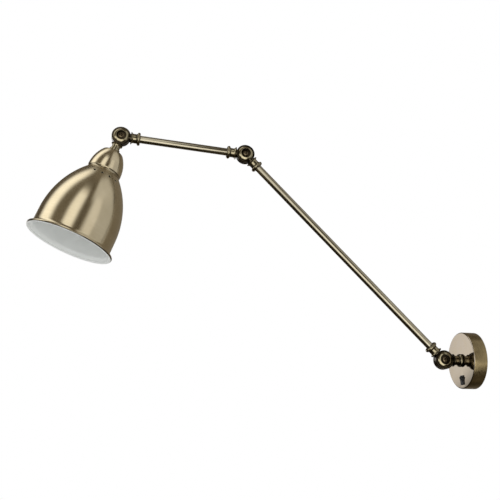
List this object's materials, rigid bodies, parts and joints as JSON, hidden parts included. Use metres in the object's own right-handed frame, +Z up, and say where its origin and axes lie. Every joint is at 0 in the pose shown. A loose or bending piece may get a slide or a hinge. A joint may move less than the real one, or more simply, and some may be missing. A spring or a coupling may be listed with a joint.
{
  "type": "swing arm wall sconce",
  "caption": "Wall light with a round canopy and rocker switch, a long and a short tube arm on disc knuckle joints, and a bell shade over a screw-in lamp holder.",
  "frame": {"origin": "centre of the canopy's back, on the wall, midway between the bracket's two screw slots", "axes": "+Y into the wall, +Z up, +X to the side where the pivot screws' heads are; the arms lie in the plane X = 0 and reach out along -Y"},
  "size_m": [0.138, 0.713, 0.4029],
  "materials": {
    "antique_brass": "polished antique plating",
    "satin_brass": "satin antique plating",
    "shade_brass": "brushed antique outside, white enamel inside",
    "canopy_brass": "polished front, brushed side",
    "pivot_brass": "bright plated",
    "zinc_steel": "zinc plated",
    "fibre": "vulcanised fibre",
    "terminal_white": "moulded",
    "switch_black": "moulded, semi-gloss",
    "contact_brass": "bare pressed brass",
    "holder_black": "moulded phenolic",
    "holder_ceramic": "glazed",
    "cable_pvc": "smooth sheath"
  },
  "bodies": {
    "wall_base": {"mounting_bracket": "zinc_steel", "wall_canopy": "canopy_brass", "canopy_screws": "zinc_steel", "earth_screw": "zinc_steel", "terminal_block": "terminal_white", "block_screw": "zinc_steel", "terminal_screws": "zinc_steel", "switch_housing": "switch_black", "switch_terminals": "contact_brass", "switch_lead": "cable_pvc"},
    "rocker": {"switch_rocker": "switch_black"},
    "wall_swivel": {"wall_knuckle": "antique_brass", "wall_collar": "antique_brass", "swivel_washer": "fibre", "swivel_spring_washer": "zinc_steel", "swivel_nut": "zinc_steel", "wall_cable": "cable_pvc", "wall_pivot_screw": "pivot_brass", "wall_pivot_washer": "pivot_brass", "wall_spring_washer": "zinc_steel", "wall_pivot_nut": "pivot_brass", "wall_friction_ring": "fibre"},
    "long_arm": {"long_arm_lower_knuckle": "antique_brass", "long_arm_lower_collar": "antique_brass", "long_arm_tube": "satin_brass", "long_arm_upper_collar": "antique_brass", "long_arm_upper_knuckle": "antique_brass", "long_arm_cable": "cable_pvc", "elbow_pivot_screw": "pivot_brass", "elbow_pivot_washer": "pivot_brass", "elbow_spring_washer": "zinc_steel", "elbow_pivot_nut": "pivot_brass", "elbow_friction_ring": "fibre"},
    "short_arm": {"short_arm_rear_knuckle": "antique_brass", "short_arm_rear_collar": "antique_brass", "short_arm_tube": "satin_brass", "short_arm_front_collar": "antique_brass", "short_arm_front_knuckle": "antique_brass", "short_arm_cable": "cable_pvc", "head_pivot_screw": "pivot_brass", "head_pivot_washer": "pivot_brass", "head_spring_washer": "zinc_steel", "head_pivot_nut": "pivot_brass", "head_friction_ring": "fibre"},
    "shade_head": {"shade_knuckle": "antique_brass", "shade_collar": "antique_brass", "shade": "shade_brass", "shade_washer": "zinc_steel", "shade_nut": "zinc_steel", "holder_cap": "holder_black", "holder_body": "holder_black", "holder_insert": "holder_ceramic", "holder_screw_shell": "contact_brass", "holder_centre_contact": "contact_brass", "shade_cable": "cable_pvc"}
  },
  "joints": [
    {"name": "switch_press", "type": "hinge", "parent": "wall_base", "child": "rocker", "pos_m": [0, -0.0214, -0.0315], "axis": [-1, 0, 0], "range_deg": [0, 20]},
    {"name": "base_swivel", "type": "hinge", "parent": "wall_base", "child": "wall_swivel", "pos_m": [0, -0.022, 0], "axis": [0, 1, 0], "range_deg": [-170, 170]},
    {"name": "wall_hinge", "type": "hinge", "parent": "wall_swivel", "child": "long_arm", "pos_m": [0, -0.0525, 0], "axis": [-1, 0, 0], "range_deg": [-135, 44.6]},
    {"name": "elbow_hinge", "type": "hinge", "parent": "long_arm", "child": "short_arm", "pos_m": [0, -0.3776, 0.32967], "axis": [-1, 0, 0], "range_deg": [-48, 131]},
    {"name": "shade_hinge", "type": "hinge", "parent": "short_arm", "child": "shade_head", "pos_m": [0, -0.58016, 0.34294], "axis": [-1, 0, 0], "range_deg": [-36, 183]}
  ]
}
